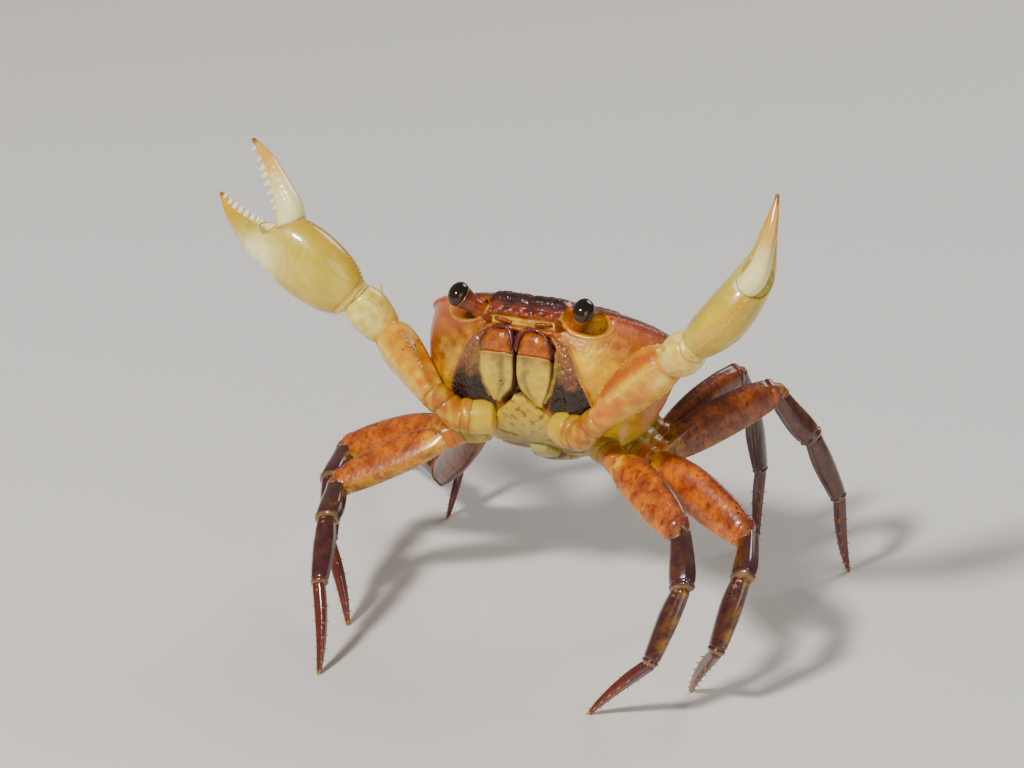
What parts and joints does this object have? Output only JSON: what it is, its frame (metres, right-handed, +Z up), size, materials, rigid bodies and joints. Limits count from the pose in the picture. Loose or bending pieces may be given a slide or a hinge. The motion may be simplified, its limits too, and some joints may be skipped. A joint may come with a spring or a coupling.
{
  "type": "freshwater crab",
  "caption": "Still life-size freshwater crab standing nose-up on its walking legs with both claws raised and open.",
  "frame": {"origin": "on the floor under the middle of the crab's outline", "axes": "+Z up from the floor, -Y the way the crab faces, +X to the crab's left"},
  "size_m": [0.113, 0.088, 0.0866],
  "materials": {
    "shell_orange": "wet glossy shell, orange with a dark maroon front edge",
    "breastplate_yellow": "satin pale yellow shell",
    "mouth_orange": "glossy orange and yellow mouth plates",
    "eyestalk_brown": "glossy orange-brown",
    "cornea_black": "very glossy brown-black",
    "thigh_orange": "satin orange mottled shell",
    "claw_cream": "glossy ivory and amber shell",
    "shin_purple": "very glossy dark purple-brown shell"
  },
  "bodies": {
    "root": {"abdomen": "breastplate_yellow", "carapace": "shell_orange", "claw_base_left": "breastplate_yellow", "claw_base_right": "breastplate_yellow", "claw_carpus_left": "claw_cream", "claw_carpus_right": "claw_cream", "claw_merus_left": "thigh_orange", "claw_merus_right": "thigh_orange", "cornea_left": "cornea_black", "cornea_right": "cornea_black", "eyestalk_left": "eyestalk_brown", "eyestalk_right": "eyestalk_brown", "finger_left": "claw_cream", "finger_right": "claw_cream", "leg2_base_left": "breastplate_yellow", "leg2_base_right": "breastplate_yellow", "leg2_carpus_left": "shin_purple", "leg2_carpus_right": "shin_purple", "leg2_dactyl_left": "shin_purple", "leg2_dactyl_right": "shin_purple", "leg2_merus_left": "thigh_orange", "leg2_merus_right": "thigh_orange", "leg2_propodus_left": "shin_purple", "leg2_propodus_right": "shin_purple", "leg3_base_left": "breastplate_yellow", "leg3_base_right": "breastplate_yellow", "leg3_carpus_left": "shin_purple", "leg3_carpus_right": "shin_purple", "leg3_dactyl_left": "shin_purple", "leg3_dactyl_right": "shin_purple", "leg3_merus_left": "thigh_orange", "leg3_merus_right": "thigh_orange", "leg3_propodus_left": "shin_purple", "leg3_propodus_right": "shin_purple", "leg4_base_left": "breastplate_yellow", "leg4_base_right": "breastplate_yellow", "leg4_carpus_left": "shin_purple", "leg4_carpus_right": "shin_purple", "leg4_dactyl_left": "shin_purple", "leg4_dactyl_right": "shin_purple", "leg4_merus_left": "thigh_orange", "leg4_merus_right": "thigh_orange", "leg4_propodus_left": "shin_purple", "leg4_propodus_right": "shin_purple", "leg5_base_left": "breastplate_yellow", "leg5_base_right": "breastplate_yellow", "leg5_carpus_left": "shin_purple", "leg5_carpus_right": "shin_purple", "leg5_dactyl_left": "shin_purple", "leg5_dactyl_right": "shin_purple", "leg5_merus_left": "thigh_orange", "leg5_merus_right": "thigh_orange", "leg5_propodus_left": "shin_purple", "leg5_propodus_right": "shin_purple", "maxilliped_left": "mouth_orange", "maxilliped_right": "mouth_orange", "palm_left": "claw_cream", "palm_right": "claw_cream", "sternum": "breastplate_yellow"}
  },
  "joints": []
}
